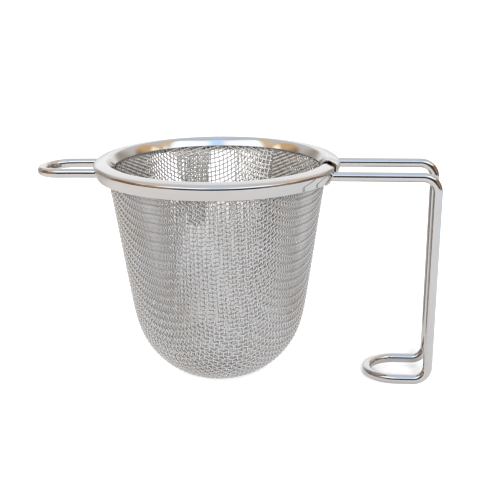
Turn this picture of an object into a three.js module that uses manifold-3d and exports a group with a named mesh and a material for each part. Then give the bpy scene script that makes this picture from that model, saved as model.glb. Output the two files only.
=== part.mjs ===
// A basket strainer that hangs in a cup: a deep round basket of woven steel wire cloth, clamped in a folded
// rim channel over a stiffening hoop, a hairpin wire handle that drops to a foot, and a short wire rest
// loop on the far side. Millimetres, +Z up, origin at the bottom of the basket, +X towards the handle.
// Nothing on it moves: every piece is clamped or spot-welded.
import * as THREE from "three";
import { mergeVertices } from "three/addons/utils/BufferGeometryUtils.js";
import Module from "manifold-3d";

// ---- basket and rim ----
const RIM_TOP = 67.4; // height of the rim's crest
const RIM_R = 36.4; // widest radius of the rim
const SHEET = 0.35; // thickness of the rim's sheet
const CLOTH_TOP = RIM_TOP - 1.3; // upper edge of the cloth, inside the channel
const CLOTH = 0.55; // thickness of the cloth over its crossings: two wires
const HOOP_R = 33.55; // centre line of the hoop hidden in the channel
const HOOP_Z = RIM_TOP - 1.3;
const HOOP_WIRE = 1.4;
const HOOP_SIDES = 8;
const TURN = 60; // facets round the axis

// ---- lap: the upper end of the rim strip over the lower end ----
const LAP_UP = 0.3; // how far it stands proud
const LAP_FROM = THREE.MathUtils.degToRad(-13); // angles round from +X
const LAP_TO = THREE.MathUtils.degToRad(-6);
const LAP_SKEW = 0.05; // radians by which the LAP_FROM end slants, at the wedge's outer radius

// ---- handle and loop: heights, spacings and corners are those of the wire's centre line ----
const WIRE = 2.8; // diameter across flats
const WIRE_SIDES = 12;
const ARM_START_X = 31.9; // the arm ends inside the channel, short of the cloth
const ARM_Y = 9.9; // half spacing of the arms
const ARM_Z = RIM_TOP - 3.6;
const POST_TOP_X = 64.5; // the upright post, at the arms
const POST_FOOT_X = 62.65; // and at the foot: it leans in slightly
const FOOT_Y = 8.9; // half spacing at the foot, and radius of its rounded end
const FOOT_Z = 2.0;
const FOOT_TIP_X = 44.8;
const BEND_TOP = 4.3; // bend radii
const BEND_FOOT = 4.2;
const HANDLE_BEND_STEPS = 8;
const LOOP_START_X = -32.5;
const LOOP_TIP_X = -52.7;
const LOOP_Y = 7.35; // half spacing of the loop, and radius of its rounded end
const LOOP_Z = RIM_TOP - 3.7;
const LOOP_BEND_STEPS = 9;

// ---- notches where the wires enter the rim's skirt ----
const NOTCH_R = WIRE / 2 + 0.25; // the wire and its clearance
const NOTCH_DROP = 4; // reach below the wire's centre line
const NOTCH_FROM = 32.3; // nearest distance from the axis, along X
const NOTCH_LONG = 6;
const NOTCH_ARC_STEPS = 8;

// The basket's outer skin, from the bottom pole to the edge clamped in the rim: [radius, height].
const SKIN = [
  [0, 0],
  [4.6, 0],
  [8.4, 0.75],
  [12.5, 2.35],
  [16.3, 4.75],
  [19.3, 7.5],
  [21.8, 10.7],
  [24.0, 15.0],
  [25.6, 20.6],
  [26.9, 28.2],
  [28.6, 39.4],
  [30.35, 51.0],
  [32.15, 62.4],
  [32.68, CLOTH_TOP],
];

// The rim's outer face, from the inner lip over the crest to the skirt: [radius, height above RIM_TOP].
const RIM_FACE = [
  [31.2, -2.85],
  [31.25, -2.0],
  [31.5, -1.2],
  [31.95, -0.6],
  [32.6, -0.2],
  [33.5, 0],
  [34.6, -0.02],
  [35.5, -0.2],
  [36.15, -0.6],
  [RIM_R, -1.2],
  [36.2, -2.5],
  [35.75, -3.8],
  [35.25, -5.0],
].map(([radius, z]) => [radius, z + RIM_TOP]);

// ---- materials ----
function steel({ color, roughness }) {
  return new THREE.MeshStandardMaterial({ color, roughness, metalness: 1 });
}
const POLISHED = steel({ color: 0xd2d4d6, roughness: 0.16 });
const DRAWN = steel({ color: 0xc4c7ca, roughness: 0.22 });
const WOVEN = steel({ color: 0xa9acae, roughness: 0.34 });

// ---- profiles and solids ----
// Turns a profile of [radius, height] pairs round the Z axis.
function turned(profile) {
  const geometry = new THREE.LatheGeometry(
    profile.map(([radius, z]) => new THREE.Vector2(radius, z)),
    TURN,
  );
  return geometry.rotateX(Math.PI / 2);
}

// Moves an open profile sideways, to the left of its direction of travel.
function offset(profile, distance) {
  return profile.map(([radius, z], i) => {
    const before = profile[Math.max(i - 1, 0)];
    const after = profile[Math.min(i + 1, profile.length - 1)];
    const along = new THREE.Vector2(after[0] - before[0], after[1] - before[1]).normalize();
    return [Math.max(radius - along.y * distance, 0), z + along.x * distance];
  });
}

function polar(radius, angle) {
  return new THREE.Vector2(radius * Math.cos(angle), radius * Math.sin(angle));
}

const wasm = await Module();
wasm.setup();
const { Manifold, Mesh } = wasm;

// Welds a geometry by position alone, so that it closes into a solid.
function toSolid(geometry) {
  geometry.deleteAttribute("normal");
  geometry.deleteAttribute("uv");
  const welded = mergeVertices(geometry, 1e-4);
  return new Manifold(
    new Mesh({
      numProp: 3,
      vertProperties: new Float32Array(welded.attributes.position.array),
      triVerts: new Uint32Array(welded.index.array),
    }),
  );
}

// Gives every facet its own vertices, for flat shading.
function toGeometry(solid) {
  const mesh = solid.getMesh();
  const indexed = new THREE.BufferGeometry();
  indexed.setAttribute("position", new THREE.BufferAttribute(mesh.vertProperties, 3));
  indexed.setIndex(new THREE.BufferAttribute(mesh.triVerts, 1));
  const flat = indexed.toNonIndexed();
  flat.computeVertexNormals();
  return flat;
}

// ---- basket ----
function basketCloth() {
  const inside = offset(SKIN, CLOTH);
  // The inner skin starts on the axis and ends level with the outer one.
  inside[0] = [0, inside[1][1]];
  inside[inside.length - 1][1] = CLOTH_TOP;
  return turned([...SKIN, ...inside.reverse()]);
}

// ---- rim: one folded strip, open below, its ends lapped ----
// A layer of the channel whose face stands proud of RIM_FACE.
function channel({ proud, thickness }) {
  const face = offset(RIM_FACE, proud);
  const back = offset(RIM_FACE, proud - thickness);
  return toSolid(turned([...back, ...face.reverse(), back[0]]));
}

// A short saddle over the channel, sunk halfway into its sheet.
function lap() {
  const inner = 20; // the wedge's radii clear the rim on both sides
  const outer = 45;
  const wedge = new THREE.Shape([
    polar(inner, LAP_FROM),
    polar(outer, LAP_FROM - LAP_SKEW),
    polar(outer, LAP_TO),
    polar(inner, LAP_TO),
  ]);
  const block = new THREE.ExtrudeGeometry(wedge, { depth: 12, bevelEnabled: false });
  block.translate(0, 0, RIM_TOP - 8);
  const saddle = channel({ proud: LAP_UP, thickness: LAP_UP + SHEET * 0.5 });
  return saddle.intersect(toSolid(block));
}

// The cutter for one wire: round on top, straight-sided below, lying along X from startX.
function notch(startX, y, z) {
  const section = new THREE.Shape();
  section.moveTo(-NOTCH_R, -NOTCH_DROP);
  section.lineTo(NOTCH_R, -NOTCH_DROP);
  section.lineTo(NOTCH_R, 0);
  section.absarc(0, 0, NOTCH_R, 0, Math.PI, false);
  section.lineTo(-NOTCH_R, -NOTCH_DROP);
  const cutter = new THREE.ExtrudeGeometry(section, {
    depth: NOTCH_LONG,
    bevelEnabled: false,
    curveSegments: NOTCH_ARC_STEPS,
  });
  cutter.rotateX(Math.PI / 2); // the section stands up, swept along Y
  cutter.rotateZ(Math.PI / 2); // and now along X
  cutter.translate(startX, y, z);
  return toSolid(cutter);
}

function rimBand() {
  let rim = channel({ proud: 0, thickness: SHEET }).add(lap());
  for (const side of [-1, 1]) {
    rim = rim.subtract(notch(NOTCH_FROM, side * ARM_Y, ARM_Z));
  }
  for (const side of [-1, 1]) {
    rim = rim.subtract(notch(-NOTCH_FROM - NOTCH_LONG, side * LOOP_Y, LOOP_Z));
  }
  return toGeometry(rim);
}

// ---- hoop ----
function rimHoop() {
  const section = [];
  for (let i = 0; i < HOOP_SIDES; i++) {
    const angle = (i / HOOP_SIDES) * 2 * Math.PI + Math.PI / HOOP_SIDES;
    section.push([
      HOOP_R + (HOOP_WIRE / 2) * Math.cos(angle),
      HOOP_Z + (HOOP_WIRE / 2) * Math.sin(angle),
    ]);
  }
  return turned([...section, section[0]]);
}

// ---- bent wires ----
// A wire's centre line: corners { at, bend }, each rounded to its bend radius, with the exact direction at
// every point. axisAt(corner index, direction) gives the vector that the section's second axis follows, so
// the section never twists. ExtrudeGeometry reads only the two overridden methods.
class BentWire extends THREE.Curve {
  constructor(corners, bendSteps, axisAt) {
    super();
    this.points = [];
    this.tangents = [];
    this.axes = [];
    const put = (point, direction, corner) => {
      this.points.push(point);
      this.tangents.push(direction);
      this.axes.push(axisAt(corner, direction));
    };
    const places = corners.map(({ at }) => new THREE.Vector3(...at));
    const heading = (i) => places[i + 1].clone().sub(places[i]).normalize();
    const last = corners.length - 1;

    put(places[0], heading(0), 0);
    for (let i = 1; i < last; i++) {
      const { bend } = corners[i];
      const into = heading(i - 1);
      const out = heading(i);
      const turn = into.angleTo(out);
      const start = places[i].clone().addScaledVector(into, -bend * Math.tan(turn / 2));
      const axis = into.clone().cross(out).normalize();
      const inward = axis.clone().cross(into); // from the start towards the bend's centre
      const centre = start.clone().addScaledVector(inward, bend);
      for (let k = 0; k <= bendSteps; k++) {
        const swing = new THREE.Quaternion().setFromAxisAngle(axis, (turn * k) / bendSteps);
        const point = start.clone().sub(centre).applyQuaternion(swing).add(centre);
        // Where two bends meet, their shared point is kept once.
        if (this.points.at(-1).distanceTo(point) > 0.02) {
          put(point, into.clone().applyQuaternion(swing).normalize(), i);
        }
      }
    }
    put(places[last], heading(last - 1), last);
  }

  get steps() {
    return this.points.length - 1;
  }

  getSpacedPoints() {
    return this.points;
  }

  computeFrenetFrames() {
    const { tangents } = this;
    const binormals = this.axes.map((axis, i) =>
      axis.clone().addScaledVector(tangents[i], -axis.dot(tangents[i])).normalize(),
    );
    const normals = binormals.map((binormal, i) => binormal.clone().cross(tangents[i]));
    return { tangents, normals, binormals };
  }
}

// Sweeps the wire along half a hairpin and back along its mirror image across the XZ plane.
function hairpin(half, bendSteps, axisAt) {
  const mirrored = half.map(({ at: [x, y, z], bend }) => ({ at: [x, -y, z], bend })).reverse();
  const path = new BentWire([...half, ...mirrored], bendSteps, axisAt);
  const cornerR = WIRE / 2 / Math.cos(Math.PI / WIRE_SIDES);
  const section = [];
  for (let i = 0; i < WIRE_SIDES; i++) {
    section.push(polar(cornerR, ((i + 0.5) / WIRE_SIDES) * 2 * Math.PI));
  }
  return new THREE.ExtrudeGeometry(new THREE.Shape(section), {
    steps: path.steps,
    extrudePath: path,
    bevelEnabled: false,
  });
}

// The section's second axis stays across the wire's own plane: along Y on the arms and posts, turning with
// the wire round the foot and the loop, so that there a flat faces straight down.
function handleWire() {
  const half = [
    { at: [ARM_START_X, -ARM_Y, ARM_Z] },
    { at: [POST_TOP_X, -ARM_Y, ARM_Z], bend: BEND_TOP },
    { at: [POST_FOOT_X, -FOOT_Y, FOOT_Z], bend: BEND_FOOT },
    { at: [FOOT_TIP_X, -FOOT_Y, FOOT_Z], bend: FOOT_Y },
  ];
  return hairpin(half, HANDLE_BEND_STEPS, (corner, direction) => {
    if (corner <= 2) return new THREE.Vector3(0, -1, 0); // out and down on the -Y side
    if (corner <= 4) return new THREE.Vector3(0, 0, 1).cross(direction); // round the foot's tip
    return new THREE.Vector3(0, 1, 0); // up and home on the +Y side
  });
}

function restLoopWire() {
  const half = [
    { at: [LOOP_START_X, LOOP_Y, LOOP_Z] },
    { at: [LOOP_TIP_X, LOOP_Y, LOOP_Z], bend: LOOP_Y },
  ];
  return hairpin(half, LOOP_BEND_STEPS, (corner, direction) =>
    new THREE.Vector3(0, 0, -1).cross(direction),
  );
}

// ---- assembly ----
const group = new THREE.Group();
group.name = "basket_strainer";

function add(name, geometry, material) {
  const mesh = new THREE.Mesh(geometry, material);
  mesh.name = name;
  group.add(mesh);
}

add("basket_cloth", basketCloth(), WOVEN);
add("rim_band", rimBand(), POLISHED);
add("rim_hoop", rimHoop(), DRAWN);
add("handle_wire", handleWire(), DRAWN);
add("rest_loop_wire", restLoopWire(), DRAWN);

export default group;
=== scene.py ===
# A round strainer basket of woven steel wire cloth under a pressed steel rim. Z is up, with the
# bottom of the basket at the origin and its axis on Z. The handle wire stands out towards +X, the
# rest loop towards -X, and the camera looks from the -Y side. Lengths are in mm unless noted;
# azimuths are taken anticlockwise from +X.
import math

import bmesh
import bpy
import numpy as np
from mathutils import Matrix, Vector


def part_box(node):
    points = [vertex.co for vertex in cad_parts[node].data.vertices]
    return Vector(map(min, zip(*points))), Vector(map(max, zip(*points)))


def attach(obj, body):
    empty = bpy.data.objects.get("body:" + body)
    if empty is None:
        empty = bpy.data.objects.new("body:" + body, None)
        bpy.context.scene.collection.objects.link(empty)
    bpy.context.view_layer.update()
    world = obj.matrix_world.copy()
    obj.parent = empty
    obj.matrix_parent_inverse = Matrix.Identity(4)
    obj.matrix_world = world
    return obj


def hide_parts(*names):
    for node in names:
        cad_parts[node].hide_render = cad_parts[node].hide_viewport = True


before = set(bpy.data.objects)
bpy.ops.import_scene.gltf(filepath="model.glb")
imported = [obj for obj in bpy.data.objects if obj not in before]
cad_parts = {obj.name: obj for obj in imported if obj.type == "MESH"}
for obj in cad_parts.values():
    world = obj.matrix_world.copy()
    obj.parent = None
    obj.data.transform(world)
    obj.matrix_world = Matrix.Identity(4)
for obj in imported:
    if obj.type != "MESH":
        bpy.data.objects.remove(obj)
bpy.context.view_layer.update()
MM = 0.001


def cad_box(name):
    return (np.array(corner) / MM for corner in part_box(name))


# ------------------------------------------------------------------ dimensions
rim_low, rim_high = cad_box("rim_band")
post_low, post_high = cad_box("handle_wire")
loop_low, loop_high = cad_box("rest_loop_wire")

LAP_UP = 0.3                             # the lapped end stands this far above the crest
RIM_TOP = float(rim_high[2]) - LAP_UP    # crest of the rim
SHEET = 0.35                             # thickness of the rim
WIRE_R = float(loop_high[2] - loop_low[2]) / 2
WIRE_SIDES = 28

# handle: two arms at +-ARM_Y, two posts down from them, joined by a foot that runs back inwards
ARM_Y = float(post_high[1]) - WIRE_R
ARM_Z = float(post_high[2]) - WIRE_R
ARM_END_X = 31.9
POST_TOP_X, POST_TOP_BEND = 64.5, 4.3
POST_FOOT_X, POST_FOOT_BEND = 62.65, 4.2
FOOT_TIP_X = 44.8
FOOT_Y = 8.9
FOOT_Z = float(post_low[2]) + WIRE_R

# rest loop
LOOP_Y = float(loop_high[1]) - WIRE_R
LOOP_Z = float(loop_high[2]) - WIRE_R
LOOP_TIP_X = float(loop_low[0]) + WIRE_R
LOOP_END_X = -32.5
LOOP_DROP = 0.42                         # sag at the tip
DROP_FROM, DROP_OVER = 38.0, 16.0        # where along -X the sag starts, and over what length

HOOP_R, HOOP_Z, HOOP_WIRE_R = 33.6, RIM_TOP - 1.45, 0.7
HOOP_STATIONS, HOOP_SIDES = 240, 16

PITCH = 1.4                              # weave pitch of the cloth
SUB = 4                                  # samples per pitch
STEP = PITCH / SUB
CLOTH_WIRE_R = 0.195
CLOTH_SIDES = 6
WARP_AT = math.radians(-74)              # azimuth the warp wires take from the bottom
SECTORS = 6


# ------------------------------------------------------------------ geometry helpers
def direction(vector):
    return vector / np.linalg.norm(vector)


def unit_rows(vectors, tiny=0.0):
    return vectors / (np.linalg.norm(vectors, axis=1, keepdims=True) + tiny)


def lengths_along(points):
    return np.r_[0, np.cumsum(np.linalg.norm(np.diff(points, axis=0), axis=1))]


def wrap(angle):
    return (angle + np.pi) % (2 * np.pi) - np.pi


def spline(points, count):
    """Natural cubic spline through the points, by chord length, sampled at count places."""
    p = np.asarray(points, float)
    knots = lengths_along(p)
    gap = np.diff(knots)
    size = len(knots)
    matrix = np.zeros((size, size))
    right = np.zeros((size, p.shape[1]))
    matrix[0, 0] = matrix[-1, -1] = 1
    for i in range(1, size - 1):
        matrix[i, i - 1 : i + 2] = gap[i - 1], 2 * (gap[i - 1] + gap[i]), gap[i]
        right[i] = 6 * ((p[i + 1] - p[i]) / gap[i] - (p[i] - p[i - 1]) / gap[i - 1])
    second = np.linalg.solve(matrix, right)
    at = np.linspace(0, knots[-1], count)
    i = np.clip(np.searchsorted(knots, at) - 1, 0, size - 2)
    u = (at - knots[i])[:, None]
    span = gap[i][:, None]
    slope = (p[i + 1] - p[i]) / span - span * (2 * second[i] + second[i + 1]) / 6
    return (
        p[i]
        + u * slope
        + u * u * second[i] / 2
        + u**3 * (second[i + 1] - second[i]) / (6 * span)
    )


def even(points, count):
    """The polyline resampled at even spacing."""
    length = lengths_along(points)
    at = np.linspace(0, length[-1], count)
    return np.stack([np.interp(at, length, points[:, k]) for k in range(points.shape[1])], 1)


def bent(corners, bend_step=0.35, straight_step=1.2):
    """Centre line through corners (x, y, z, bend radius); the two ends have no radius."""
    points = [np.array(corner[:3], float) for corner in corners]
    line = [points[0]]
    for i in range(1, len(points) - 1):
        radius = corners[i][3]
        come = direction(points[i] - points[i - 1])
        leave = direction(points[i + 1] - points[i])
        turn = math.acos(np.clip(come @ leave, -1, 1))
        start = points[i] - come * (radius * math.tan(turn / 2))
        side = np.cross(direction(np.cross(come, leave)), come)
        centre = start + side * radius
        steps = max(8, int(radius * turn / bend_step))
        for angle in np.linspace(0, turn, steps + 1):
            p = centre - side * radius * math.cos(angle) + come * radius * math.sin(angle)
            if np.linalg.norm(p - line[-1]) > 0.02:
                line.append(p)
    line.append(points[-1])
    dense = [line[0]]
    for p, q in zip(line[:-1], line[1:]):
        steps = max(1, int(round(np.linalg.norm(q - p) / straight_step)))
        for k in range(1, steps + 1):
            dense.append(p + (q - p) * k / steps)
    return np.array(dense)


def section_rings(path, radius, across, other, sides):
    """Round sections about path, in the plane of the directions across and other."""
    angle = np.arange(sides) * 2 * np.pi / sides
    return path[:, None] + radius * (
        np.cos(angle)[None, :, None] * across[:, None]
        + np.sin(angle)[None, :, None] * other[:, None]
    )


def strip_faces(rings, sides, first=0):
    """Quads between consecutive closed rings of vertices."""
    i = first + np.arange(rings - 1)[:, None] * sides
    k = np.arange(sides)[None]
    k2 = (k + 1) % sides
    return np.stack([i + k, i + k2, i + sides + k2, i + sides + k], -1).reshape(-1, 4)


def turned_over(faces):
    return faces[:, [0, 3, 2, 1]]


def grid_uv(u, v):
    return np.stack(np.meshgrid(u, v, indexing="ij"), -1).reshape(-1, 2)


def make_mesh(name, verts, faces, material, uv=None, smooth=True):
    """verts in mm; faces an (n, 4) index array; uv one pair per vertex."""
    verts = np.asarray(verts, np.float32) * MM
    faces = np.asarray(faces, np.int32)
    mesh = bpy.data.meshes.new(name)
    mesh.vertices.add(len(verts))
    mesh.vertices.foreach_set("co", verts.ravel())
    corners = faces.shape[1]
    mesh.loops.add(faces.size)
    mesh.loops.foreach_set("vertex_index", faces.ravel())
    mesh.polygons.add(len(faces))
    mesh.polygons.foreach_set("loop_start", np.arange(0, faces.size, corners, dtype=np.int32))
    mesh.polygons.foreach_set("loop_total", np.full(len(faces), corners, np.int32))
    if uv is not None:
        layer = mesh.uv_layers.new(name="OFBake")
        layer.data.foreach_set("uv", np.asarray(uv, np.float32)[faces.ravel()].ravel())
    mesh.update(calc_edges=True)
    if smooth:
        mesh.polygons.foreach_set("use_smooth", np.ones(len(faces), bool))
    mesh.materials.append(material)
    ob = bpy.data.objects.new(name, mesh)
    bpy.context.scene.collection.objects.link(ob)
    return ob


# ------------------------------------------------------------------ shader helpers
def node(nt, kind, **values):
    """A new node; each value sets the input of that name, or else the node's property."""
    made = nt.nodes.new(kind)
    for key, value in values.items():
        if key in made.inputs:
            made.inputs[key].default_value = value
        else:
            setattr(made, key, value)
    return made


def feed(nt, socket, value):
    """Links another node's output to socket, or sets it to a number or an RGB tuple."""
    if isinstance(value, bpy.types.NodeSocket):
        nt.links.new(value, socket)
    elif isinstance(value, tuple):
        socket.default_value = (*value, 1)
    else:
        socket.default_value = value


def math_node(nt, operation, *values):
    made = node(nt, "ShaderNodeMath", operation=operation)
    for i, value in enumerate(values):
        feed(nt, made.inputs[i], value)
    return made.outputs[0]


def smooth_step(nt, value, start, end, low=0.0, high=1.0):
    """Goes smoothly from low to high as value goes from start to end."""
    made = node(nt, "ShaderNodeMapRange", interpolation_type="SMOOTHSTEP")
    for i, setting in enumerate((value, start, end, low, high)):
        feed(nt, made.inputs[i], setting)
    return made.outputs[0]


def mix_colour(nt, factor, below, above):
    made = node(nt, "ShaderNodeMix", data_type="RGBA")
    for i, value in ((0, factor), (6, below), (7, above)):
        feed(nt, made.inputs[i], value)
    return made.outputs[2]


def new_material(name):
    material = bpy.data.materials.new(name)
    material.use_nodes = True
    nt = material.node_tree
    nt.nodes.clear()
    out = node(nt, "ShaderNodeOutputMaterial")
    bsdf = node(nt, "ShaderNodeBsdfPrincipled")
    nt.links.new(bsdf.outputs[0], out.inputs[0])
    return material, nt, bsdf


# ------------------------------------------------------------------ materials
def steel(name, tint, rough, swing, streak, bump, stain=0.05, metallic=1.0, packed_shade=None):
    """Stainless steel with streaks, cloudy polish and faint tarnish.

    swing: how far the roughness varies. streak: noise scale along the piece, round it, and 1.
    stain: darkening of the cloudy patches. packed_shade: how much of its tone the cloth keeps where
    drawing has pulled the wires close together; this darkening is painted shade of wires lying close
    and shading each other.
    """
    material, nt, bsdf = new_material(name)
    bsdf.inputs["Metallic"].default_value = metallic
    place = node(nt, "ShaderNodeTexCoord").outputs["Object"]
    uv = node(nt, "ShaderNodeUVMap", uv_map="OFBake")
    stretch = node(nt, "ShaderNodeMapping", Scale=streak)
    nt.links.new(uv.outputs[0], stretch.inputs[0])

    def noise(vector, **settings):
        made = node(nt, "ShaderNodeTexNoise", **settings)
        nt.links.new(vector, made.inputs["Vector"])
        return made.outputs["Fac"]

    lines = noise(stretch.outputs[0], Scale=1.0, Detail=6.0, Roughness=0.65)
    cloud = noise(place, Scale=90.0, Detail=3.0, Roughness=0.5)
    grain = noise(place, Scale=1400.0, Detail=2.0, Roughness=0.6)

    lined = math_node(nt, "MULTIPLY_ADD", lines, swing, rough - swing / 2)
    clouded = math_node(nt, "MULTIPLY_ADD", cloud, swing * 0.6, lined)
    nt.links.new(clouded, bsdf.inputs["Roughness"])

    # a little darker and warmer in cloudy patches
    ramp = node(nt, "ShaderNodeValToRGB")
    red, green, blue = tint
    patchy, clean = ramp.color_ramp.elements
    patchy.position = 0.3
    clean.position = 0.75
    patchy.color = [red * (1 - stain * 0.6), green * (1 - stain), blue * (1 - stain * 1.5), 1]
    clean.color = [*tint, 1]
    nt.links.new(cloud, ramp.inputs[0])
    colour = ramp.outputs[0]
    # painted shade: the cloth is darkened where drawing packs its wires close, as close wires shade
    # each other
    if packed_shade is not None:
        square = node(nt, "ShaderNodeAttribute", attribute_name="square")
        unshaded = smooth_step(nt, square.outputs["Fac"], 0.40, 0.97, low=packed_shade, high=1.0)
        shaded_colour = node(nt, "ShaderNodeVectorMath", operation="SCALE")
        nt.links.new(colour, shaded_colour.inputs[0])
        nt.links.new(unshaded, shaded_colour.inputs["Scale"])
        colour = shaded_colour.outputs[0]
    nt.links.new(colour, bsdf.inputs["Base Color"])

    relief = node(nt, "ShaderNodeBump", Strength=bump, Distance=0.0002)
    nt.links.new(math_node(nt, "MULTIPLY_ADD", grain, 0.35, lines), relief.inputs["Height"])
    nt.links.new(relief.outputs[0], bsdf.inputs["Normal"])
    return material


def cloth_steel(name, tint, rough, swing=0.12, stain=0.10, metallic=0.72, packed_shade=None):
    return steel(
        name, tint, rough, swing, streak=(300.0, 300.0, 1.0), bump=0.0,
        stain=stain, metallic=metallic, packed_shade=packed_shade,
    )


BRIGHT_TINT = (0.60, 0.60, 0.605)
RIM_STEEL = steel(
    "rim_steel", BRIGHT_TINT, rough=0.055, swing=0.04, streak=(10.0, 160.0, 1.0), bump=0.012
)
WIRE_STEEL = steel(
    "wire_steel", BRIGHT_TINT, rough=0.08, swing=0.05, streak=(14.0, 60.0, 1.0), bump=0.02
)
CLOTH_STEEL = cloth_steel(
    "cloth_steel", (0.555, 0.56, 0.57), rough=0.22, swing=0.10, metallic=0.83, packed_shade=0.79
)
# where the cloth is folded its wires are duller; one fold is darker, with painted shade for its
# stacked layers, and one is lighter, with painted light
FOLD_STEEL = cloth_steel("cloth_steel_rubbed", (0.60, 0.590, 0.575), rough=0.34)
FOLD_SHADED = cloth_steel("cloth_steel_painted_shade", (0.485, 0.485, 0.48), rough=0.36)
FOLD_LIT = cloth_steel(
    "cloth_steel_painted_light", (0.80, 0.795, 0.785), rough=0.30, stain=0.08
)


# ------------------------------------------------------------------ the basket's mid-surface
# (radius, height) of the basket's outside, from the middle of the bottom to the mouth
SKIN = [
    (0, 0), (4.4, 0.12), (8.4, 0.75), (12.5, 2.35), (16.3, 4.75), (19.3, 7.5), (21.8, 10.7),
    (24.0, 15.0), (25.6, 20.6), (26.9, 28.2), (28.6, 39.4), (30.35, 51.0), (32.15, 62.4),
    (32.68, RIM_TOP - 1.3),
]
SKIN_TO_MIDDLE = 0.27


def left_normals(line):
    """Unit normals on the left of a 2-D line."""
    tangent = unit_rows(np.gradient(line, axis=0))
    return np.stack([-tangent[:, 1], tangent[:, 0]], 1)


def middle_profile():
    outer = spline(SKIN, 800)
    middle = outer + left_normals(outer) * SKIN_TO_MIDDLE
    middle[0] = (0, middle[1, 1])
    middle[:, 0] = np.maximum(middle[:, 0], 0)
    return even(middle, 1600)


PROFILE = middle_profile()
ARC = lengths_along(PROFILE)
PROFILE_SLOPE = unit_rows(np.gradient(PROFILE, ARC, axis=0))
S_END = ARC[-1]                          # arc length at the mouth
STEPS = int(math.ceil((S_END + 1.0) / STEP))


def surface(s, az):
    """Mid-surface at arc length s from the bottom: points, outward normals, and the
    derivatives along s and azimuth. Past the mouth it runs on almost upright."""
    clipped = np.clip(s, 0, S_END)
    r = np.interp(clipped, ARC, PROFILE[:, 0])
    z = np.interp(clipped, ARC, PROFILE[:, 1]) + (s - clipped)
    r = r + (s - clipped) * 0.15
    dr = np.interp(clipped, ARC, PROFILE_SLOPE[:, 0])
    dz = np.interp(clipped, ARC, PROFILE_SLOPE[:, 1])
    cos, sin = np.cos(az), np.sin(az)
    points = np.stack([r * cos, r * sin, z], -1)
    normals = np.stack([dz * cos, dz * sin, -dr], -1)
    by_s = np.stack([dr * cos, dr * sin, dz], -1)
    by_az = np.stack([-r * sin, r * cos, 0 * z], -1)
    return points, normals, by_s, by_az


# ------------------------------------------------------------------ draping the cloth
def drape():
    """One quadrant of cloth draped over the basket: crossings keep their spacing along the
    wires and only the angle between wires gives. Returns arc length and azimuth per step."""
    s = np.full((STEPS + 1, STEPS + 1), np.nan)
    az = np.full((STEPS + 1, STEPS + 1), np.nan)
    s[0, :] = np.arange(STEPS + 1) * STEP
    s[:, 0] = np.arange(STEPS + 1) * STEP
    az[0, :] = math.pi / 2
    az[:, 0] = 0.0
    for diagonal in range(2, 2 * STEPS + 1):
        i = np.arange(max(1, diagonal - STEPS), min(STEPS, diagonal - 1) + 1)
        j = diagonal - i
        near_i = surface(s[i - 1, j], az[i - 1, j])[0]
        near_j = surface(s[i, j - 1], az[i, j - 1])[0]
        corner = surface(s[i - 1, j - 1], az[i - 1, j - 1])[0]
        guess = near_i + near_j - corner
        new_s = s[i - 1, j] + s[i, j - 1] - s[i - 1, j - 1]
        if diagonal == 2:
            new_s = np.array([STEP * math.sqrt(2)])
        new_az = np.arctan2(guess[:, 1], guess[:, 0])
        # Newton's method: one STEP away from both neighbours
        for _ in range(7):
            p, _, by_s, by_az = surface(new_s, new_az)
            miss_i = ((p - near_i) ** 2).sum(1) - STEP**2
            miss_j = ((p - near_j) ** 2).sum(1) - STEP**2
            i_by_s = 2 * ((p - near_i) * by_s).sum(1)
            i_by_az = 2 * ((p - near_i) * by_az).sum(1)
            j_by_s = 2 * ((p - near_j) * by_s).sum(1)
            j_by_az = 2 * ((p - near_j) * by_az).sum(1)
            det = i_by_s * j_by_az - i_by_az * j_by_s
            det = np.where(np.abs(det) < 1e-9, np.nan, det)
            ds = np.clip((miss_i * j_by_az - miss_j * i_by_az) / det, -STEP, STEP)
            daz = np.clip((i_by_s * miss_j - j_by_s * miss_i) / det, -0.3, 0.3)
            new_s, new_az = new_s - ds, new_az - daz
        bad = ~(np.isfinite(new_s) & np.isfinite(new_az)) | (new_s > S_END + 2.5)
        bad |= (new_az < -1e-3) | (new_az > math.pi / 2 + 1e-3)
        new_s[bad] = np.nan
        s[i, j], az[i, j] = new_s, new_az
    return s, az


def squareness(s, az):
    """Sine of the angle between the two wires at every step: 1 where the cloth is square."""
    p = surface(np.nan_to_num(s), np.nan_to_num(az))[0]
    p[~np.isfinite(s)] = np.nan
    di = np.roll(p, -1, 0) - np.roll(p, 1, 0)
    dj = np.roll(p, -1, 1) - np.roll(p, 1, 1)
    product = np.linalg.norm(di, axis=-1) * np.linalg.norm(dj, axis=-1)
    sine = np.linalg.norm(np.cross(di, dj), axis=-1) / (product + 1e-12)
    sine[0, :] = sine[:, 0] = 1.0
    return np.where(np.isfinite(sine), sine, 0.7)


# (family, index >= 0): for the wire's positive half, then its negative half,
# whether the quadrant's two directions are swapped, and its quarter turns anticlockwise
QUADRANTS = {
    (0, True): ((False, 0), (True, 1)),
    (0, False): ((True, -1), (False, 2)),
    (1, True): ((True, 0), (False, -1)),
    (1, False): ((False, 1), (True, 2)),
}


def wire_lines():
    """Every wire as (family, index, arc lengths, azimuths, step numbers, squareness). Family 0
    runs along azimuth 0 of the cloth, family 1 across it."""
    quad_s, quad_az = drape()
    quad_square = squareness(quad_s, quad_az)
    lines = []
    steps = np.arange(-STEPS, STEPS + 1)
    away = np.abs(steps)
    most = STEPS // SUB
    for family in (0, 1):
        for index in range(-most, most + 1):
            offset = abs(index) * SUB
            s, az, square = (np.empty(len(steps)) for _ in range(3))
            halves = (steps >= 0, steps < 0)
            for half, (swapped, quarter) in zip(halves, QUADRANTS[family, index >= 0]):
                at = (offset, away[half]) if swapped else (away[half], offset)
                s[half] = quad_s[at]
                az[half] = quad_az[at] + quarter * math.pi / 2
                square[half] = quad_square[at]
            if offset == 0:
                az[away == 0] = 0
            lines.append((family, index, s, az, steps, square))
    return lines


LINES = wire_lines()


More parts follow.
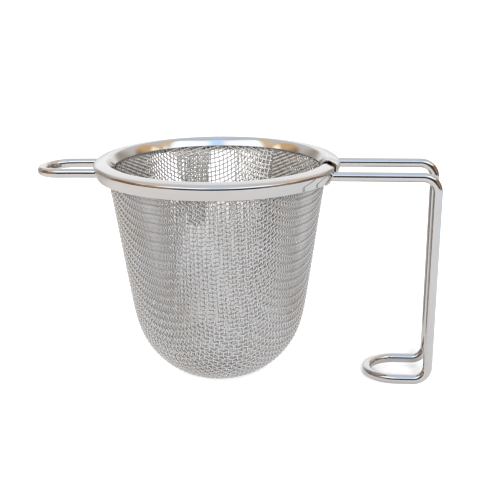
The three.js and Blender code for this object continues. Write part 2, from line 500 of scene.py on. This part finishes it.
# ------------------------------------------------------------------ cloth meshes
def unbroken(keep):
    """The indices of each unbroken stretch of True."""
    index = np.nonzero(keep)[0]
    return np.split(index, np.nonzero(np.diff(index) > 1)[0] + 1) if len(index) else []


def over_under(family, places):
    """+1 where a wire passes outside the crossing one, -1 where it passes inside."""
    return np.cos(np.pi * places) * (1 if family == 0 else -1)


def wire_mesh(name, runs, material, radius=CLOTH_WIRE_R, square=None):
    """One mesh of thin open tubes, or None without runs. Each run is centre points, wall
    normals, azimuths, arc lengths and thickness; square is each run's squareness."""
    if not runs:
        return None
    verts, faces, uvs = [], [], []
    first = 0
    for path, normals, az, s, thick in runs:
        tangent = unit_rows(np.gradient(path, axis=0), 1e-12)
        across = normals - (normals * tangent).sum(1, keepdims=True) * tangent
        across = unit_rows(across, 1e-12)
        size = radius * thick[:, None, None]
        rings = section_rings(path, size, across, np.cross(tangent, across), CLOTH_SIDES)
        verts.append(rings.reshape(-1, 3))
        faces.append(strip_faces(len(path), CLOTH_SIDES, first))
        uv = np.stack([(az / (2 * np.pi)) % 1.0, s / (S_END + 1)], 1)
        uvs.append(np.repeat(uv, CLOTH_SIDES, 0))
        first += len(path) * CLOTH_SIDES
    ob = make_mesh(name, np.concatenate(verts), np.concatenate(faces), material, np.concatenate(uvs))
    if square is None:
        tone = np.ones(len(ob.data.vertices))
    else:
        tone = np.repeat(np.concatenate(square), CLOTH_SIDES)
    ob.data.attributes.new("square", "FLOAT", "POINT").data.foreach_set("value", tone)
    return ob


def draped_cloth(name, azimuth, inset, region, material, shift=0.0, joined=False):
    """Wires of the draped cloth, each over one crossing wire and under the next. azimuth maps
    the cloth's azimuth to the basket's, inset moves the layer inwards, region says what to
    keep, shift moves it up the wall, joined adds a sample before each run so parts meet."""
    runs, squares = [], []
    for family, index, s, az, steps, square in LINES:
        keep = np.isfinite(s) & (s <= S_END)
        az = wrap(azimuth(np.where(keep, az, 0.0), np.where(keep, s, 0.0)))
        s = np.where(keep, s + shift, np.nan)
        keep &= region(az, np.where(keep, s, 0.0))
        for run in unbroken(keep):
            if joined and run[0] > 0 and np.isfinite(s[run[0] - 1]):
                run = np.r_[run[0] - 1, run]
            if len(run) < 4:
                continue
            p, normals, _, _ = surface(s[run], az[run])
            phase = over_under(family, steps[run] / SUB + index)
            thick = np.clip(0.55 + 0.60 * square[run], 0.78, 1.0)
            out = CLOTH_WIRE_R * 1.02 * thick * phase - inset(az[run], s[run])
            runs.append((p + normals * out[:, None], normals, az[run], s[run], thick))
            squares.append(square[run])
    return wire_mesh(name, runs, material, square=squares)


LAID_R = 31.4                            # wall radius used to lay out the flat folds
LAID_REACH = 45                          # wires and pitches laid out each way


def laid_cloth(name, middle, s_middle, lean, cross, inset, span, top, bottom, proud, radii):
    """Folded cloth pulled out of square: its wires lie at lean and lean + cross to the mouth,
    about azimuth middle. span holds the end azimuths; angles are in degrees. top and
    bottom(az) bound s. proud pulls the first family inwards and the second outwards."""
    lean, cross, middle = math.radians(lean), math.radians(cross), math.radians(middle)
    az_from, az_to = (math.radians(angle) for angle in span)
    first_way = np.array([math.cos(lean), math.sin(lean)])
    second_way = np.array([math.cos(lean + cross), math.sin(lean + cross)])
    reach = np.arange(-LAID_REACH * SUB, LAID_REACH * SUB + 1) / SUB
    made = []
    for family in (0, 1):
        runs = []
        for k in range(-LAID_REACH, LAID_REACH + 1):
            fixed = np.full(len(reach), float(k))
            u, v = (reach, fixed) if family == 0 else (fixed, reach)
            x, y = (PITCH * (u[:, None] * first_way + v[:, None] * second_way)).T
            az, s = middle + x / LAID_R, s_middle + y
            keep = (np.abs(x) < 60) & (s < S_END) & (s > S_END - 30)
            keep &= (az > az_from) & (az < az_to) & (s < top) & (s > bottom(az))
            for run in unbroken(keep):
                if len(run) < 4:
                    continue
                p, normals, _, _ = surface(s[run], az[run])
                wave = CLOTH_WIRE_R * 0.5 * over_under(family, u[run] + v[run])
                lift = -proud if family == 0 else proud
                out = wave - inset(az[run], s[run]) + lift
                thick = np.ones(len(run))
                runs.append((p + normals * out[:, None], normals, az[run], s[run], thick))
        made.append((f"{name}_{family}", runs, radii[family]))
    first, second = (wire_mesh(part, runs, FOLD_STEEL, radius) for part, runs, radius in made)
    first.name = name
    bm = bmesh.new()
    for ob in (first, second):
        bm.from_mesh(ob.data)
    bm.to_mesh(first.data)
    bm.free()
    bpy.data.objects.remove(second)
    return first


pieces = []                              # (object, CAD node it replaces, material slot)


def add_cloth(ob):
    pieces.append((ob, "basket_cloth", "wire_cloth"))


# the cloth in sectors of the basket, so no one mesh is too heavy
for sector in range(SECTORS):
    low = -math.pi + sector * 2 * math.pi / SECTORS
    high = low + 2 * math.pi / SECTORS
    add_cloth(draped_cloth(
        f"cloth_{sector + 1}",
        azimuth=lambda az, s: az + WARP_AT,
        inset=lambda az, s: 0.0,
        region=lambda az, s: (az >= low) & (az < high),
        material=CLOTH_STEEL,
        joined=True,
    ))

# ------------------------------------------------------------------ pleats
# Where the drawn cloth is fuller than the mouth it is folded flat against the inside.
# (from azimuth, to azimuth, in degrees, depth below the mouth, extra layers, material)
PLEATS = [
    # the first fold's darker material is painted shade, the second fold's lighter one is painted
    # light
    (101.0, 122.5, 26, 2, FOLD_SHADED),
    (62.0, 84.5, 24, 1, FOLD_LIT),
    (84.2, 86.2, 22, 2, FOLD_STEEL),
    (-30.0, -26.5, 13, 1, FOLD_STEEL),
    (-77.5, -73.0, 13, 1, FOLD_STEEL),
    (-104.0, -101.5, 13, 2, FOLD_STEEL),
]
S_MOUTH = S_END - 1.5
S_PLEAT_TOP = S_MOUTH - 0.9


def below_mouth(s):
    return (S_MOUTH - s).clip(0)


def pleat(number, az_from, az_to, depth, layers, material):
    az_from, az_to = math.radians(az_from), math.radians(az_to)
    middle = (az_from + az_to) / 2
    width = az_to - az_from

    def flap(az, s):
        """Widens quickly from its lower tip to its full width at the mouth."""
        half = width / 2 * np.clip((s - (S_MOUTH - depth)) / depth, 0, 1) ** 0.3
        return (np.abs(wrap(az - middle)) < half) & (s > S_MOUTH - depth) & (s < S_PLEAT_TOP)

    def turned_back(az, s):
        return 2 * az_to - (az + WARP_AT) + 0.0035 * (S_END - s)

    def turned_again(az, s):
        return az + WARP_AT + width + 0.012 - 0.002 * (S_END - s)

    # (letter, azimuth map, full inset)
    for letter, azimuth, full in (("a", turned_back, 0.62), ("b", turned_again, 1.2))[:layers]:
        ob = draped_cloth(
            f"pleat_{number}_{letter}",
            azimuth,
            inset=lambda az, s: np.minimum(full, 0.36 * full + 0.16 * below_mouth(s)),
            region=flap,
            material=material,
            shift=0.45,
        )
        # a very narrow flap may hold no wire long enough
        if ob:
            add_cloth(ob)


for number, row in enumerate(PLEATS, 1):
    pleat(number, *row)

# two wide flat folds on the +Y half, pulled out of square so that their wires lie close: the
# far one on the rest loop's side, the other on the handle's side
FAR_MIDDLE = 158
WIDE_FOLD = dict(
    s_middle=S_MOUTH - 8,
    inset=lambda az, s: np.minimum(0.95, 0.3 + 0.16 * below_mouth(s)),
    top=S_PLEAT_TOP,
)
add_cloth(laid_cloth(
    "pleat_far", middle=FAR_MIDDLE, lean=24, cross=52, span=(139, 176),
    bottom=lambda az: S_MOUTH - 20 + 6.84 * np.abs(az - math.radians(FAR_MIDDLE)),
    proud=0.30, radii=(0.27, 0.07), **WIDE_FOLD,
))
add_cloth(laid_cloth(
    "pleat_side", middle=40, lean=-24, cross=-52, span=(14, 61.5),
    bottom=lambda az: S_MOUTH - 24,
    proud=0.34, radii=(0.30, 0.07), **WIDE_FOLD,
))

# ------------------------------------------------------------------ hem
# the cloth's edge, turned back inside under the rim and crushed slantwise
S_FOLD = S_END - 0.9
# (letter, middle azimuth, lean, cross, from azimuth, to azimuth), in degrees
HEMS = [
    ("a", 128, -14, -52, 91, 127),
    ("b", 52, 27, 50, 61.5, 91),
    ("c", -128, 20, 52, -150, -91),
    ("d", -52, -22, -52, -91, -32),
]


def hem_bottom(az):
    """Shallowest at +-Y, deeper towards the handle and the rest loop."""
    from_y = np.abs(np.abs(az) - math.pi / 2)
    return S_FOLD - (2.7 + 1.6 * np.clip(from_y / math.radians(32), 0, 1) ** 1.3)


for letter, middle, lean, cross, az_from, az_to in HEMS:
    add_cloth(laid_cloth(
        f"cloth_hem_{letter}", middle, S_FOLD - 2, lean, cross,
        inset=lambda az, s: 0.60 + 0.15 * below_mouth(s),
        span=(az_from, az_to), top=S_FOLD, bottom=hem_bottom,
        proud=0.24, radii=(0.19, 0.07),
    ))

# ------------------------------------------------------------------ rim
# (radius, height from the crest) of the rim's upper face, from the inner edge over the crest
# and shoulder to the edge of the skirt
RIM_FACE = [
    (30.55, -2.78), (31.0, -2.08), (31.45, -1.42), (31.85, -0.88), (32.25, -0.47),
    (32.7, -0.25), (33.3, -0.22), (34.2, -0.37), (35.1, -0.57), (35.75, -0.83), (36.15, -1.17),
    (36.36, -1.62), (36.38, -2.1), (36.2, -2.95), (35.85, -3.9), (35.45, -5.0),
]
RIM_FACE_POINTS = 72
RIM_STATIONS, RIM_END_STATIONS = 720, 60
RIM_UNDER = math.radians(9.0)            # how far the lower end runs on under the upper
RIM_TILT = -0.006                        # the rim sits a touch lower on the handle's side
LIFT, LIFT_OVER = 0.47, math.radians(13.0)   # upper end raised clear of the lower
NOSE, NOSE_OVER = 0.30, math.radians(11.0)   # lower end nosed down to slip under
# the next three run from the inner edge (0) to the skirt's edge (1)
# azimuth of the upper end's slanted cut, in degrees
CUT = ([0, 0.35, 0.62, 0.75, 1.0], [-7.0, -9.0, -12.5, -17.0, -24.0])
# shares of lift and nose: strongest over crest and shoulder, for the ends touch at the edges
LIFT_SHARE = ([0, 0.2, 0.4, 0.62, 0.78, 1.0], [0.85, 1.1, 1.5, 1.6, 0.95, 0.8])
NOSE_SHARE = ([0, 0.2, 0.35, 0.5, 0.62, 0.78, 1.0], [1.0, 0.75, 0.75, 1.3, 2.2, 1.2, 1.0])


def rim_mesh():
    """A sheet strip once round the mouth, its ends lapped near the handle."""
    face = spline(RIM_FACE, RIM_FACE_POINTS)
    normals = left_normals(face)
    section = np.concatenate([face, (face - normals * SHEET)[::-1]])
    normals = np.concatenate([normals, normals[::-1]])
    across = np.linspace(0, 1, len(face))
    across = np.concatenate([across, across[::-1]])
    count = len(section)

    # 0 at the upper end's cut, 1 at the lower end tucked under it; closer stations at the ends
    t = np.unique(np.concatenate([
        np.linspace(0, 1, RIM_STATIONS),
        np.linspace(0, 0.04, RIM_END_STATIONS),
        np.linspace(0.96, 1, RIM_END_STATIONS),
    ]))
    stations = len(t)
    span = 2 * math.pi + RIM_UNDER
    cut = np.interp(across, CUT[0], np.radians(CUT[1]))
    az = cut[None, :] + t[:, None] * span
    near_upper = 1 - np.clip(t * span / LIFT_OVER, 0, 1)
    near_lower = 1 - np.clip((1 - t) * span / NOSE_OVER, 0, 1)
    lift = LIFT * near_upper**2 * (3 - 2 * near_upper)
    nose = NOSE * near_lower**1.5
    off = lift[:, None] * np.interp(across, *LIFT_SHARE)[None]
    off = off - nose[:, None] * np.interp(across, *NOSE_SHARE)[None]
    r = section[None, :, 0] + normals[None, :, 0] * off
    z = section[None, :, 1] + normals[None, :, 1] * off + RIM_TOP
    # a very slight waviness
    r = r + (0.02 * np.sin(az * 5 + 0.7) + 0.012 * np.sin(az * 11 + 2.0))
    z = z + RIM_TILT * r * np.cos(az)
    verts = np.stack([r * np.cos(az), r * np.sin(az), z], -1).reshape(-1, 3)
    uv = grid_uv(t * 0.98 + 0.01, np.arange(count) / count)
    ob = make_mesh(
        "rim_band_fine", verts, turned_over(strip_faces(stations, count)), RIM_STEEL, uv
    )

    # close the two ends with quads from face to back
    bm = bmesh.new()
    bm.from_mesh(ob.data)
    bm.verts.ensure_lookup_table()
    layer = bm.loops.layers.uv["OFBake"]
    half = count // 2
    for start in (0, (stations - 1) * count):
        for k in range(half - 1):
            corners = (k, k + 1, count - 2 - k, count - 1 - k)
            quad = bm.faces.new([bm.verts[start + corner] for corner in corners])
            for loop in quad.loops:
                loop[layer].uv = (0.005, k / half)
    bmesh.ops.recalc_face_normals(bm, faces=bm.faces[:])
    bm.to_mesh(ob.data)
    bm.free()
    return ob


NOTCH_GAP = 0.22                         # clearance round the wire
NOTCH_FROM, NOTCH_TO = 32.6, 39.0        # radial reach of the cutter
NOTCH_DOWN = 5.0


def notch_cutter(y, z, side):
    """The notch a wire enters by: an upright slot with a round top, at +X or -X."""
    half = WIRE_R + NOTCH_GAP
    outline = [(half * math.cos(a), half * math.sin(a)) for a in np.linspace(0, math.pi, 25)]
    outline += [(-half, -NOTCH_DOWN), (half, -NOTCH_DOWN)]
    bm = bmesh.new()
    near, far = (
        [bm.verts.new((x * MM, (y + dy) * MM, (z + dz) * MM)) for dy, dz in outline]
        for x in sorted((NOTCH_FROM * side, NOTCH_TO * side))
    )
    bm.faces.new(near)
    bm.faces.new(far[::-1])
    for k in range(len(outline)):
        k2 = (k + 1) % len(outline)
        bm.faces.new([near[k], far[k], far[k2], near[k2]])
    bmesh.ops.recalc_face_normals(bm, faces=bm.faces[:])
    mesh = bpy.data.meshes.new("notch")
    bm.to_mesh(mesh)
    bm.free()
    ob = bpy.data.objects.new("notch", mesh)
    bpy.context.scene.collection.objects.link(ob)
    return ob


rim = rim_mesh()
for y, z, side in (
    (ARM_Y, ARM_Z, 1), (-ARM_Y, ARM_Z, 1), (LOOP_Y, LOOP_Z, -1), (-LOOP_Y, LOOP_Z, -1),
):
    cutter = notch_cutter(y, z, side)
    cut = rim.modifiers.new("notch", "BOOLEAN")
    cut.operation = "DIFFERENCE"
    cut.object = cutter
    cut.solver = "EXACT"
    bpy.context.view_layer.objects.active = rim
    with bpy.context.temp_override(object=rim, active_object=rim, selected_objects=[rim]):
        bpy.ops.object.modifier_apply(modifier="notch")
    bpy.data.objects.remove(cutter)
pieces.append((rim, "rim_band", "rim_sheet"))


# ------------------------------------------------------------------ hoop under the rim
def hoop():
    angle = np.linspace(0, 2 * math.pi, HOOP_STATIONS + 1)[:-1]
    radial = np.stack([np.cos(angle), np.sin(angle), 0 * angle], 1)
    path = np.stack(
        [HOOP_R * np.cos(angle), HOOP_R * np.sin(angle), np.full_like(angle, HOOP_Z)], 1
    )
    rings = section_rings(path, HOOP_WIRE_R, radial, np.array([[0, 0, 1.0]]), HOOP_SIDES)
    # one ring more than there are, taken round to the first
    faces = strip_faces(HOOP_STATIONS + 1, HOOP_SIDES) % (HOOP_STATIONS * HOOP_SIDES)
    uv = grid_uv(angle / (2 * math.pi), np.arange(HOOP_SIDES) / HOOP_SIDES)
    return make_mesh("rim_hoop_fine", rings.reshape(-1, 3), turned_over(faces), WIRE_STEEL, uv)


pieces.append((hoop(), "rim_hoop", "wire"))

# ------------------------------------------------------------------ handle and loop wires
# (distance past the wire's end, share of the radius) of the rings that round an end over
END_STEPS = ((0.075, 0.97), (0.125, 0.86))


def thick_wire(name, path, up):
    """A closed round wire with rounded ends; up is the direction each section leans on."""
    tangent = unit_rows(np.gradient(path, axis=0))
    across = unit_rows(up - (up * tangent).sum(1, keepdims=True) * tangent)
    body = section_rings(path, WIRE_R, across, np.cross(tangent, across), WIRE_SIDES)

    def end_rings(end, inner):
        out = direction(path[end] - path[inner])
        centre = path[end]
        return [centre + out * far + (body[end] - centre) * share for far, share in END_STEPS]

    rings = np.array([*end_rings(0, 1)[::-1], *body, *end_rings(-1, -2)])
    count = len(rings)
    uv = grid_uv(np.linspace(0.02, 0.98, count), (np.arange(WIRE_SIDES) + 0.5) / WIRE_SIDES)
    ob = make_mesh(name, rings.reshape(-1, 3), strip_faces(count, WIRE_SIDES), WIRE_STEEL, uv)

    # close each end with one flat face
    bm = bmesh.new()
    bm.from_mesh(ob.data)
    bm.verts.ensure_lookup_table()
    layer = bm.loops.layers.uv["OFBake"]
    for start, flip in ((0, True), ((count - 1) * WIRE_SIDES, False)):
        edge = [bm.verts[start + k] for k in range(WIRE_SIDES)]
        cap = bm.faces.new(edge[::-1] if flip else edge)
        cap.smooth = False
        for k, loop in enumerate(cap.loops):
            angle = k / WIRE_SIDES * 2 * math.pi
            loop[layer].uv = (0.01 + 0.008 * math.cos(angle), 0.01 + 0.008 * math.sin(angle))
    bm.normal_update()
    bmesh.ops.recalc_face_normals(bm, faces=bm.faces[:])
    bm.to_mesh(ob.data)
    bm.free()
    return ob


def handle():
    path = bent([
        (ARM_END_X, -ARM_Y, ARM_Z),
        (POST_TOP_X, -ARM_Y, ARM_Z, POST_TOP_BEND),
        (POST_FOOT_X, -FOOT_Y, FOOT_Z, POST_FOOT_BEND),
        (FOOT_TIP_X, -FOOT_Y, FOOT_Z, FOOT_Y),
        (FOOT_TIP_X, FOOT_Y, FOOT_Z, FOOT_Y),
        (POST_FOOT_X, FOOT_Y, FOOT_Z, POST_FOOT_BEND),
        (POST_TOP_X, ARM_Y, ARM_Z, POST_TOP_BEND),
        (ARM_END_X, ARM_Y, ARM_Z),
    ])
    tangent = unit_rows(np.gradient(path, axis=0))
    in_foot = path[:, 2] < FOOT_Z + 0.01
    sideways = np.sign(path[:, 1:2]) * np.array([[0, 1.0, 0]])
    up = np.where(in_foot[:, None], np.cross([0, 0, 1.0], tangent), sideways)
    return thick_wire("handle_wire_fine", path, up)


def rest_loop():
    path = bent([
        (LOOP_END_X, LOOP_Y, LOOP_Z),
        (LOOP_TIP_X, LOOP_Y, LOOP_Z, LOOP_Y),
        (LOOP_TIP_X, -LOOP_Y, LOOP_Z, LOOP_Y),
        (LOOP_END_X, -LOOP_Y, LOOP_Z),
    ])
    path[:, 2] -= LOOP_DROP * np.clip((-path[:, 0] - DROP_FROM) / DROP_OVER, 0, 1) ** 2
    up = np.cross([0, 0, 1.0], np.gradient(path, axis=0))
    return thick_wire("rest_loop_fine", path, up)


pieces.append((handle(), "handle_wire", "wire"))
pieces.append((rest_loop(), "rest_loop_wire", "wire"))

for ob, cad, slot in pieces:
    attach(ob, "root")
    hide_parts(cad)

# ------------------------------------------------------------------ floor
# A white table in a pale room: a cool window high behind the camera, a dark gap at eye level
# where the room is unlit, warm wooden furniture either side of it.
CAM_SIDE = math.radians(-6.22)           # the floor and room are turned with the camera
FLOOR_Z = -0.0004                        # m
FLOOR_X = (-520, 700)
FLOOR_Y = (-560, 1500)

# colours the floor has for all but camera rays; its warm and cool tints are painted coloured light,
# seen only in reflections
FLOOR_WARM_LIGHT = (0.670, 0.650, 0.634)       # on the camera's left
FLOOR_COOL_LIGHT = (0.634, 0.650, 0.675)       # on its right
FLOOR_FAR = (0.40, 0.388, 0.380)         # behind the object
# colours the camera sees
FLOOR_SEEN = (1.0, 1.0, 1.0)
SHADOW_SEEN = (0.62, 0.62, 0.625)        # core of the basket's shadow, straight behind it
# the shadow core, in m: half width at the object and its growth with distance
SHADOW_HALF, SHADOW_SPREAD = 0.018, 0.145


def floor_material():
    material, nt, bsdf = new_material("floor_white")
    bsdf.inputs["Roughness"].default_value = 0.9
    bsdf.inputs["Specular IOR Level"].default_value = 0.1
    place = node(nt, "ShaderNodeTexCoord")
    split = node(nt, "ShaderNodeSeparateXYZ")
    nt.links.new(place.outputs["Object"], split.inputs[0])
    x, y = split.outputs[0], split.outputs[1]

    near = mix_colour(nt, smooth_step(nt, x, 0.02, 0.12), FLOOR_WARM_LIGHT, FLOOR_COOL_LIGHT)
    lit = mix_colour(nt, smooth_step(nt, y, 0.03, 0.16), near, FLOOR_FAR)

    grown = math_node(nt, "MULTIPLY", y, SHADOW_SPREAD)
    half_width = math_node(nt, "ADD", grown, SHADOW_HALF)
    share = math_node(
        nt, "DIVIDE",
        math_node(nt, "ABSOLUTE", x, 0.0),
        math_node(nt, "MAXIMUM", half_width, 0.004),
    )
    inside = smooth_step(nt, share, 0.55, 1.0, low=1.0, high=0.0)
    starts = smooth_step(nt, y, 0.004, 0.03)
    ends = smooth_step(nt, y, 0.202, 0.262, low=1.0, high=0.0)
    core = math_node(nt, "MULTIPLY", math_node(nt, "MULTIPLY", inside, starts), ends)
    seen = mix_colour(nt, core, FLOOR_SEEN, SHADOW_SEEN)

    rays = node(nt, "ShaderNodeLightPath")
    tone = mix_colour(nt, rays.outputs["Is Camera Ray"], lit, seen)
    nt.links.new(tone, bsdf.inputs["Base Color"])
    return material


floor_corners = [(FLOOR_X[i], FLOOR_Y[j], 0) for i, j in ((0, 0), (1, 0), (1, 1), (0, 1))]
floor = make_mesh("floor", floor_corners, [(0, 1, 2, 3)], floor_material(), smooth=False)
floor.location.z = FLOOR_Z
floor.rotation_euler.z = -CAM_SIDE

# ------------------------------------------------------------------ room
ROOM_BASE = (0.82, 0.80, 0.79)
# Soft-edged patches of the room, each laid over the ones before. "both" mirrors a patch to
# both sides. Side is 0 at the camera and positive to its right; all angles are in degrees.
# (sides, side from, to, elevation from, to, softness of side, of elevation, colour)
LOWER_ROOM = [
    # white behind the object, dimmer low down
    ("both", 150, 200, -30, 45, 8, 18, (1.22, 1.22, 1.23)),
    ("both", 140, 200, -30, 7, 8, 7, (0.84, 0.83, 0.82)),
    # pale far corners
    ("both", 112, 148, -12, 25, 9, 7, (0.50, 0.44, 0.38)),
    # warm wooden walls and shelves at the sides, brighter higher up
    ("both", 62, 84, 20, 60, 4, 3, (1.00, 0.78, 0.50)),
    ("both", 64, 114, -12, 44, 4, 3, (0.90, 0.61, 0.33)),
    ("both", 66, 114, -12, 33, 6, 4, (0.34, 0.20, 0.13)),
    # unlit room at eye level behind the camera, with furniture either side
    ("one", -64, 62, -14, 31, 6, 3, (0.07, 0.065, 0.09)),
    ("one", -78, -40, 4, 24, 7, 4, (0.62, 0.36, 0.19)),
    ("one", -86, -46, -8, 5, 6, 3, (0.15, 0.10, 0.08)),
    ("one", 42, 76, 4, 24, 7, 4, (0.50, 0.29, 0.16)),
]
CEILING = (0.92, 0.97, 1.05)
UPPER_ROOM = [
    # pale strip above the window, then the window
    ("one", -64, 64, 58, 76, 10, 5, (0.72, 0.82, 0.98)),
    ("one", -66, 68, 33, 60, 5, 2.5, (1.62, 1.70, 1.76)),
    # small bright patches at the sides
    ("one", -90, -80, 36, 43, 3, 2, (1.7, 1.5, 1.1)),
    ("one", 82, 94, 36, 42, 3, 2, (1.6, 1.4, 1.0)),
    ("one", 70, 78, 36, 46, 2, 3, (1.3, 1.35, 1.4)),
    # bluer middle of the window
    ("one", -11, 13, 33, 62, 8, 4, (0.90, 1.22, 1.66)),
]
BELOW_TABLE = (0.25, 0.24, 0.24)
DIFFUSE_ROOM = (0.86, 0.86, 0.86)        # what diffuse rays meet instead
CAMERA_ROOM = (1.05, 1.05, 1.05)         # what the camera sees instead


def build_world():
    world = bpy.data.worlds.new("studio")
    bpy.context.scene.world = world
    world.cycles.sampling_method = "NONE"
    world.use_nodes = True
    nt = world.node_tree
    nt.nodes.clear()
    out = node(nt, "ShaderNodeOutputWorld")
    background = node(nt, "ShaderNodeBackground")
    nt.links.new(background.outputs[0], out.inputs[0])
    place = node(nt, "ShaderNodeTexCoord")
    turned = node(nt, "ShaderNodeMapping", vector_type="POINT", Rotation=(0, 0, CAM_SIDE))
    nt.links.new(place.outputs["Generated"], turned.inputs[0])
    split = node(nt, "ShaderNodeSeparateXYZ")
    nt.links.new(turned.outputs[0], split.inputs[0])
    x, y, z = split.outputs

    z = math_node(nt, "MINIMUM", math_node(nt, "MAXIMUM", z, -0.9999), 0.9999)
    elevation = math_node(nt, "DEGREES", math_node(nt, "ARCSINE", z))
    back = math_node(nt, "MULTIPLY", y, -1.0)
    side = math_node(nt, "DEGREES", math_node(nt, "ARCTAN2", x, back))
    sides = {"one": side, "both": math_node(nt, "ABSOLUTE", side)}

    def band(value, start, end, soft):
        into = smooth_step(nt, value, start - soft, start + soft)
        past = smooth_step(nt, value, end - soft, end + soft)
        return math_node(nt, "MULTIPLY", into, math_node(nt, "SUBTRACT", 1.0, past))

    def lay(room, patches):
        for which, side0, side1, low, high, soft_side, soft_elevation, colour in patches:
            wide = band(sides[which], side0, side1, soft_side)
            tall = band(elevation, low, high, soft_elevation)
            room = mix_colour(nt, math_node(nt, "MULTIPLY", wide, tall), room, colour)
        return room

    room = lay(ROOM_BASE, LOWER_ROOM)
    room = mix_colour(nt, smooth_step(nt, elevation, 66, 80), room, CEILING)
    room = lay(room, UPPER_ROOM)
    below = math_node(nt, "SUBTRACT", 1.0, smooth_step(nt, elevation, -24, -14))
    room = mix_colour(nt, below, room, BELOW_TABLE)
    rays = node(nt, "ShaderNodeLightPath")
    room = mix_colour(nt, rays.outputs["Is Diffuse Ray"], room, DIFFUSE_ROOM)
    room = mix_colour(nt, rays.outputs["Is Camera Ray"], room, CAMERA_ROOM)
    nt.links.new(room, background.inputs["Color"])


build_world()

# ------------------------------------------------------------------ light
# One big soft light from behind the camera: the object's shadow falls behind it.
KEY_STRENGTH = 8.2
KEY_ELEVATION = math.radians(17)
KEY_SPREAD = math.radians(22)

key = bpy.data.lights.new("key_soft", "SUN")
key.energy = KEY_STRENGTH
key.angle = KEY_SPREAD
key_ob = bpy.data.objects.new("key_soft", key)
key_way = Vector((
    math.sin(CAM_SIDE) * math.cos(KEY_ELEVATION),
    math.cos(CAM_SIDE) * math.cos(KEY_ELEVATION),
    -math.sin(KEY_ELEVATION),
))
key_ob.rotation_euler = key_way.to_track_quat("-Z", "Y").to_euler()
key_ob.visible_glossy = False
bpy.context.scene.collection.objects.link(key_ob)

# ------------------------------------------------------------------ camera
CAM_PITCH = math.radians(15.50)          # looking down
CAM_ROLL = math.radians(0.91)
CAM_DISTANCE = 364.0
# how far right of and above the line of sight the centre of the rim's crest lies
RIM_RIGHT, RIM_ABOVE = -6.46, 24.76


def add_camera():
    ahead = np.array([0, math.cos(CAM_PITCH), -math.sin(CAM_PITCH)])
    level = np.array([1.0, 0, 0])
    upright = np.array([0, math.sin(CAM_PITCH), math.cos(CAM_PITCH)])
    position = -CAM_DISTANCE * ahead - RIM_RIGHT * level - RIM_ABOVE * upright
    right = math.cos(CAM_ROLL) * level - math.sin(CAM_ROLL) * upright
    up = math.sin(CAM_ROLL) * level + math.cos(CAM_ROLL) * upright
    cos, sin = math.cos(-CAM_SIDE), math.sin(-CAM_SIDE)
    turn = np.array([[cos, -sin, 0], [sin, cos, 0], [0, 0, 1]])
    position, right, up, ahead = (turn @ v for v in (position, right, up, ahead))
    position = (position + np.array([0, 0, RIM_TOP])) * MM

    data = bpy.data.cameras.new("camera")
    data.sensor_width = 36.0
    data.lens = 92.4
    data.clip_start = 0.01
    data.clip_end = 50
    camera = bpy.data.objects.new("camera", data)
    rows = [(right[k], up[k], -ahead[k], position[k]) for k in range(3)]
    camera.matrix_world = Matrix([*rows, (0, 0, 0, 1)])
    bpy.context.scene.collection.objects.link(camera)
    bpy.context.scene.camera = camera


add_camera()

# ------------------------------------------------------------------ render settings
scene = bpy.context.scene
scene.view_settings.view_transform = "Standard"
scene.view_settings.look = "None"
cycles = scene.cycles
cycles.use_denoising = True
cycles.denoiser = "OPENIMAGEDENOISE"
cycles.denoising_input_passes = "RGB_ALBEDO_NORMAL"
cycles.denoising_prefilter = "ACCURATE"
cycles.caustics_reflective = False
cycles.sample_clamp_indirect = 3.0
cycles.max_bounces = 14
cycles.glossy_bounces = 12
cycles.pixel_filter_type = "BLACKMAN_HARRIS"
cycles.filter_width = 1.3
